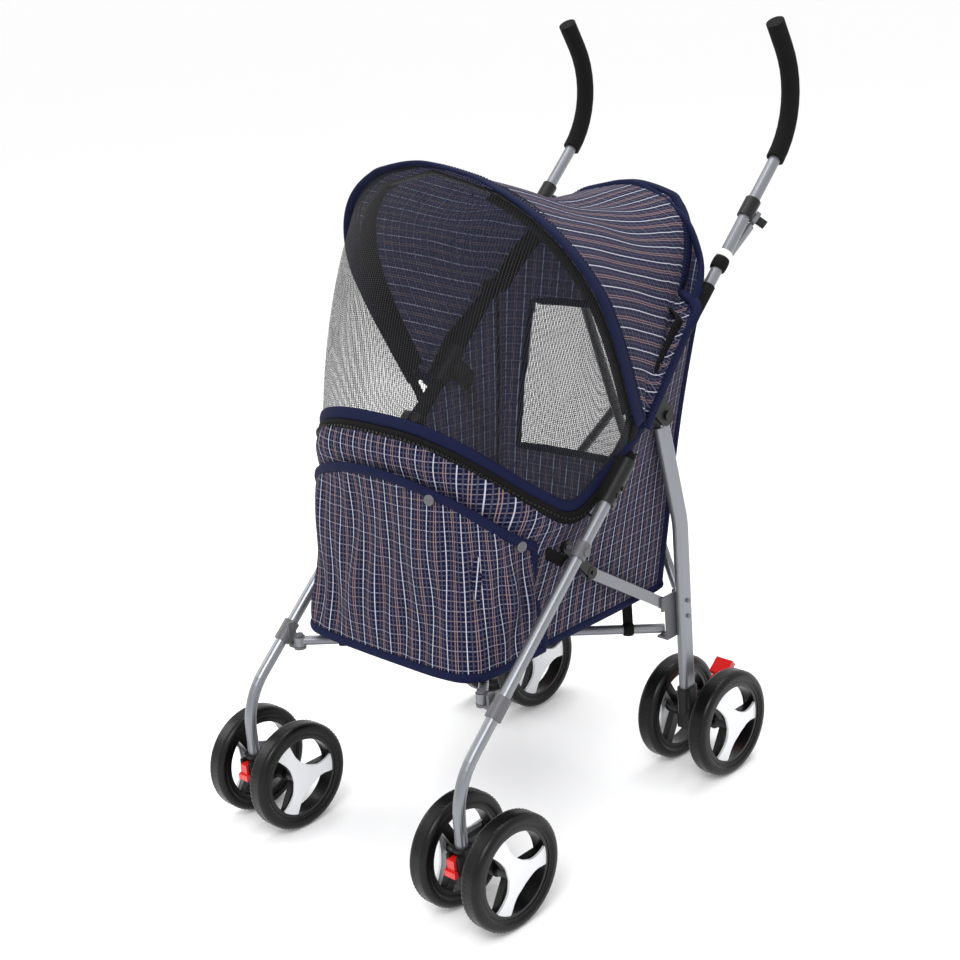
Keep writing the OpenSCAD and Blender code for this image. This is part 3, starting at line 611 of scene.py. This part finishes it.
def make_pocket():
    rows, cols = 131, 31
    top = resample([pocket_edge(c) for c in np.linspace(0.03, math.pi - 0.03, 60)], rows)
    foot_half = [
        (0.158, -0.150, 0.283), (0.158, -0.235, 0.283), (0.146, -0.268, 0.283),
        (0.112, -0.280, 0.284), (0.05, -0.282, 0.284),
    ]
    foot = resample(foot_half + [(-x, y, z) for x, y, z in reversed(foot_half)], rows)
    t = np.linspace(0, 1, cols)[None, :, None]
    p = foot[:, None] * (1 - t) + top[:, None] * t
    n = grid_normals(p, False)
    if n[rows // 2, cols // 2, 1] > 0:
        n = -n
    tt = t[..., 0]
    free = np.sin(math.pi * np.clip(tt, 0, 1)) ** 0.6
    fold = waves((rows, cols), 17, 1.3, 21) * 0.0028 + waves((rows, cols), 5, 1.2, 22) * 0.004
    out = 0.004 + 0.006 * tt**3 * np.sin(np.linspace(0, math.pi, rows))[:, None]
    p = p + n * (fold * free + out)[..., None]
    length = np.linalg.norm(np.diff(p[:, cols // 2], axis=0), axis=1).sum()
    s = np.linspace(0, length, rows)[:, None] + np.zeros((1, cols))
    d = p[..., 2]
    obj = soft(cloth_grid("pocket_cloth", p, np.stack([s, d], 2), [M["plaid"]]))
    soft(band("pocket_binding_top", p[:, -1] + n[:, -1] * 0.001, 0.013, 0.007, M["navy"]))
    soft(band("pocket_binding_foot", p[:, 0] + n[:, 0] * 0.001, 0.012, 0.006, M["navy"]))
    for k, row in enumerate((0, rows - 1)):
        soft(band(f"pocket_binding_side{k}", p[row], 0.012, 0.006, M["navy"], across=(0, 1, 0)))
    for k, row in enumerate((int(rows * 0.06), int(rows * 0.31))):
        c, m = p[row, -2], n[row, -2]
        snap(f"pocket_snap{k}", c + m * 0.0035, m)


def snap(name, at, normal):
    """A domed press stud with a dimple."""
    turn = Vector(normal).to_track_quat("Z", "Y").to_matrix()
    verts, faces, ring = [], [], 20
    for r, z in ((0.0072, 0.0), (0.0072, 0.0016), (0.0062, 0.0028), (0.0032, 0.003), (0.0026, 0.0022)):
        for k in range(ring):
            c, s = circle(k, ring)
            verts.append(turn @ Vector((r * c, r * s, z)) + Vector(at))
    for i in range(4):
        a, b = i * ring, (i + 1) * ring
        faces += [[a + k, a + (k + 1) % ring, b + (k + 1) % ring, b + k] for k in range(ring)]
    faces += [[4 * ring + k for k in range(ring)], [ring - 1 - k for k in range(ring)]]
    return soft(add_mesh(name, verts, faces, [M["grey_plastic"]]))


# ---------------------------------------------------------------- front mesh and zip
def make_front_mesh(bag):
    rows, cols = 121, 31
    top = arch(0.0, 181, 0.1)
    rim = bag[:, -1]
    n = len(rim)
    k = 7 * PER_POINT - 2
    low = resample(np.concatenate([rim[np.arange(k, -1, -1)], rim[np.arange(n - 1, n - k - 1, -1)]]), rows)
    top = resample(top, rows)
    t = np.linspace(0, 1, cols)[None, :, None]
    p = top[:, None] * (1 - t) + low[:, None] * t
    centre = np.sin(np.linspace(0, math.pi, rows))[:, None]
    belly = np.sin(math.pi * t[..., 0])
    p[..., 1] -= 0.020 * belly * centre
    p[..., 2] += 0.004 * belly * centre
    p = p + grid_normals(p, False) * (waves((rows, cols), 5, 1.1, 31) * 0.0025 * belly)[..., None]
    s = np.linspace(0, 0.62, rows)[:, None] + np.zeros((1, cols))
    d = np.linspace(0, 0.32, cols)[None, :] + np.zeros((rows, 1))
    obj = soft(cloth_grid("mesh_cloth", p, np.stack([s, d], 2), [M["net"]], thick=0.0004))
    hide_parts("front_mesh")
    out = low * [1, 1, 0] - [0, -0.06, 0]
    out /= np.maximum(np.linalg.norm(out, axis=1, keepdims=True), 1e-6)
    soft(band("zip_tape", low + out * 0.004 - [0, 0, 0.012], 0.016, 0.006, M["black_web"]))
    zip_teeth(low + out * 0.0075 - [0, 0, 0.012])
    for row, side in ((0, "right"), (rows - 1, "left")):
        soft(band(f"mesh_hem_{side}", p[row], 0.016, 0.004, M["black_web"], across=(0, 1, 0)))


TOOTH_FACES = ((0, 1, 3, 2), (4, 6, 7, 5), (0, 4, 5, 1), (2, 3, 7, 6), (0, 2, 6, 4), (1, 5, 7, 3))


def zip_teeth(path):
    p = resample(path, 260)
    verts, faces = [], []
    for i in range(len(p) - 1):
        t = p[i + 1] - p[i]
        t /= np.linalg.norm(t)
        side = np.cross(t, [0, 0, 1.0])
        side /= np.linalg.norm(side)
        up = np.cross(side, t)
        base = len(verts)
        shift = side * (0.0009 if i % 2 else -0.0009)
        for a in (-1, 1):
            for b in (-1, 1):
                for c in (-1, 1):
                    verts.append(p[i] + shift + t * 0.0008 * a + side * 0.0018 * b + up * 0.0011 * c)
        faces += [[base + x for x in f] for f in TOOTH_FACES]
    return soft(add_mesh("zip_teeth", verts, faces, [M["black_plastic"]]))


def make_mat():
    lo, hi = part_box("floor_mat")
    rows, cols = 60, 70
    x = np.linspace(lo[0] + 0.002, hi[0] - 0.002, rows)[:, None] + np.zeros((1, cols))
    y = np.linspace(lo[1] + 0.002, hi[1] - 0.006, cols)[None, :] + np.zeros((rows, 1))
    u, v = np.linspace(-1, 1, rows)[:, None], np.linspace(-1, 1, cols)[None, :]
    crown = (np.clip(1 - np.abs(u) ** 6, 0, 1) * np.clip(1 - np.abs(v) ** 6, 0, 1)) ** 0.5
    quilt = 0.0012 * (np.abs(np.sin(u * 9.4)) * np.abs(np.sin(v * 12.5))) ** 0.5
    up = np.stack([x, y, lo[2] + 0.004 + crown * 0.009 + quilt * crown], 2)
    down = np.stack([x, y, lo[2] + 0.003 + 0 * crown], 2)
    both = np.concatenate([up.reshape(-1, 3), down.reshape(-1, 3)])
    count, faces = rows * cols, []
    for i in range(rows - 1):
        for j in range(cols - 1):
            q = [i * cols + j, (i + 1) * cols + j, (i + 1) * cols + j + 1, i * cols + j + 1]
            faces += [q, [count + k for k in reversed(q)]]
    rim = [i * cols for i in range(rows)] + [(rows - 1) * cols + j for j in range(1, cols)]
    rim += [i * cols + cols - 1 for i in range(rows - 2, -1, -1)] + list(range(cols - 2, 0, -1))
    for a, b in zip(rim, rim[1:] + rim[:1]):
        faces.append([b, a, count + a, count + b])
    obj = soft(add_mesh("floor_pad", both, faces, [M["mat"]]))
    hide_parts("floor_mat")


def make_sleeves():
    for w, name in ((0.03, "front"), (0.97, "rear")):
        path = arch(w, 160, 0.12, 0.0115)
        for side, rows in (("left", path[96:]), ("right", path[:64])):
            lie = np.gradient(rows, axis=0)
            flat = np.cross(lie, [1.0, 0, 0])
            soft(band(f"hoop_sleeve_{name}_{side}", rows, 0.034, 0.006, M["black_web"], across=flat))


# ---------------------------------------------------------------- wheels
# Distance from the axle to the round corner between two arms
HOLLOW = 0.0180


def cover_outline():
    """A three-arm outline, wide at the rim, with round corners between the arms."""
    out = []
    for k in range(3):
        a = math.radians(120 * k)
        side = [(0.0535, 0.0128), (0.046, 0.0104), (0.037, 0.0092), (0.028, 0.0090)]
        side += [(0.0205, 0.0108), (HOLLOW * 0.5, HOLLOW * 0.866)]
        right = [(r, -s, 0) for r, s in reversed(side)]
        left = [(r, s, 0) for r, s in side]
        tip = [(0.0545, -0.007), (0.0548, 0.0), (0.0545, 0.007)]
        arm = resample(right, 16)[:, :2].tolist() + tip + resample(left, 16)[:-1, :2].tolist()
        out += [(r * math.cos(a) - s * math.sin(a), r * math.sin(a) + s * math.cos(a)) for r, s in arm]
    return out


def wheel_cover(name, node, face):
    """A light three-arm cover, domed over the axle, on a wheel's outer face."""
    lo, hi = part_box(node)
    centre = (lo + hi) / 2
    outline = cover_outline()
    n = len(outline)
    verts, faces = [centre + Vector((face * 0.0172, 0, 0))], []
    # each ring is a share of the outline, let down by a little at the edge
    rings = ((0.25, 0), (0.5, 0), (0.75, 0), (0.93, 0), (1.0, 0.0004), (1.0, 0.0036))
    for k, down in rings:
        for y, z in outline:
            r = math.hypot(y, z) * k
            h = 0.0172 - 0.0075 * (r / 0.055) ** 1.6 - down
            verts.append(centre + Vector((face * h, y * k, z * k)))
    faces += [[0, 1 + k, 1 + (k + 1) % n] for k in range(n)]
    for i in range(len(rings) - 1):
        b = 1 + i * n
        faces += [[b + k, b + n + k, b + n + (k + 1) % n, b + (k + 1) % n] for k in range(n)]
    if face < 0:
        faces = [list(reversed(f)) for f in faces]
    obj = add_mesh(name, verts, faces, [M["cover_silver"]])
    smooth_by_angle(obj, 40)
    return obj


def make_wheels():
    for end in ("front", "rear"):
        for side, sign in (("right", 1), ("left", -1)):
            for where, out in (("outer", 1), ("inner", -1)):
                tag = f"{end}_{side}_{where}"
                cover = wheel_cover(f"cover_{tag}", f"rim_{tag}", sign * out)
                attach(cover, f"wheel_{tag}")
                tread(tag)


RIB_FACES = ((0, 2, 3, 1), (2, 4, 5, 3), (4, 6, 7, 5), (6, 0, 1, 7), (1, 3, 5, 7), (6, 4, 2, 0))


def tread(tag):
    """Slanted ribs round the tyre, in two rows."""
    lo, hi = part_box(f"tyre_{tag}")
    c = (lo + hi) / 2
    verts, faces, n = [], [], 72
    for k in range(n):
        a = 2 * math.pi * k / n
        for off, lean in ((-0.0055, 0.012), (0.0055, -0.012)):
            base = len(verts)
            corners = ((-0.009, -0.0032), (0.009, -0.0032), (0.009, 0.0032), (-0.009, 0.0032))
            for da, dx in corners:
                for r in (0.0735, 0.0752):
                    g = a + da + (lean if dx > 0 else -lean)
                    verts.append(c + Vector((off + dx, r * math.cos(g), r * math.sin(g))))
            faces += [[base + x for x in f] for f in RIB_FACES]
    obj = add_mesh(f"tread_{tag}", verts, faces, [M["tyre"]])
    obj.data.shade_flat()
    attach(obj, f"wheel_{tag}")


# ---------------------------------------------------------------- straps
HANDLE_HALF = 0.183


def ring_strap(name, centre, axis, radius, wide, mat, body):
    """A strap round a tube."""
    a = Vector(axis).normalized()
    u = a.orthogonal().normalized()
    v = a.cross(u)
    path = []
    for k in range(40):
        c, s = circle(k, 40)
        path.append(tuple(Vector(centre) + (u * c + v * s) * radius))
    obj = band(name, path, wide, 0.003, mat, closed=True, across=tuple(a))
    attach(obj, body)


def make_straps():
    lean = math.radians(42)
    line = (0, math.cos(lean), math.sin(lean))

    def on_line(along):
        return -0.268 + along * math.cos(lean), 0.270 + along * math.sin(lean)

    for side, sign in (("right", 1), ("left", -1)):
        for name, along, wide, mat in (
            ("velcro_white", 0.664, 0.010, M["white_plastic"]),
            ("velcro_black", 0.650, 0.018, M["black_web"]),
        ):
            centre = (sign * HANDLE_HALF, *on_line(along))
            ring_strap(f"{name}_{side}", centre, line, 0.0098, wide, mat, f"side_{side}")
        # black covers on the handle tube inside the cabin
        for name, start, stop in (("low", 0.345, 0.412), ("high", 0.452, 0.615)):
            path = [(sign * HANDLE_HALF, *on_line(start + (stop - start) * k / 8)) for k in range(9)]
            cover = band(f"tube_cover_{name}_{side}", path, 0.0195, 0.0195, M["black_web"], across=(1, 0, 0))
            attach(cover, f"side_{side}")

    for side, sign in (("right", 1), ("left", -1)):
        # loops from the cabin floor round the bottom braces
        for end, share in (("rear", 0.9), ("front", 0.12)):
            lo = np.array([sign * 0.174, -0.2777, 0.2613 + sign * 0.0075])
            hi = np.array([-sign * 0.160, 0.093, 0.226 + sign * 0.0075])
            at, way = lo + (hi - lo) * share, (hi - lo) / np.linalg.norm(hi - lo)
            brace = f"bottom_arm_{side}"
            ring_strap(f"loop_{end}_{side}", at, way, 0.0082, 0.014, M["black_web"], brace)
            if end == "rear":
                below = at * [1, 1, 0]
                path = [at + [0, 0, 0.007], below + [0, 0, 0.262], below + [0, 0, 0.2755]]
                path = resample(path, 8)
                drop = band(f"loop_strap_{side}", path, 0.014, 0.0022, M["black_web"], across=way)
                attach(drop, brace)
        # tab from the pocket's corner to the front leg
        a, b = np.array([sign * 0.166, -0.150, 0.418]), np.array([sign * 0.186, -0.128, 0.398])
        path = resample([a, (a + b) / 2, b], 8)
        soft(band(f"pocket_tab_{side}", path, 0.016, 0.0025, M["black_web"], across=(0, 0, 1)))


def make_floor():
    m = Mat("floor_white", Base_Color=(0.93, 0.93, 0.935), Roughness=0.7)
    m.set("Specular IOR Level", 0.1)
    m.shader.inputs["Emission Color"].default_value = (1, 1, 1, 1)
    m.set("Emission Strength", 0.1)
    size = 90
    verts = [(-size, -size, -0.0005), (size, -size, -0.0005), (size, size, -0.0005), (-size, size, -0.0005)]
    floor = add_mesh("floor", verts, [[0, 1, 2, 3]], [m.m])


def narrow_with_fold():
    """Give the hoops and each soft piece added on the cabin a mesh of its own."""
    for obj in list(bpy.data.objects):
        node = obj.get("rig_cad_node")
        if node in ("hoop_front", "hoop_rear"):
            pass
        elif obj.type != "MESH" or obj.get("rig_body") != "cabin" or "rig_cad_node" in obj:
            continue
        elif obj.name.startswith(("canopy", "hoop")):
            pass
        else:
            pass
        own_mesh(obj)


set_camera()
set_light()
make_floor()
paint_cad()
make_canopy()
BAG = make_bag()
make_pocket()
make_front_mesh(BAG)
make_mat()
make_sleeves()
make_wheels()
make_straps()
narrow_with_fold()
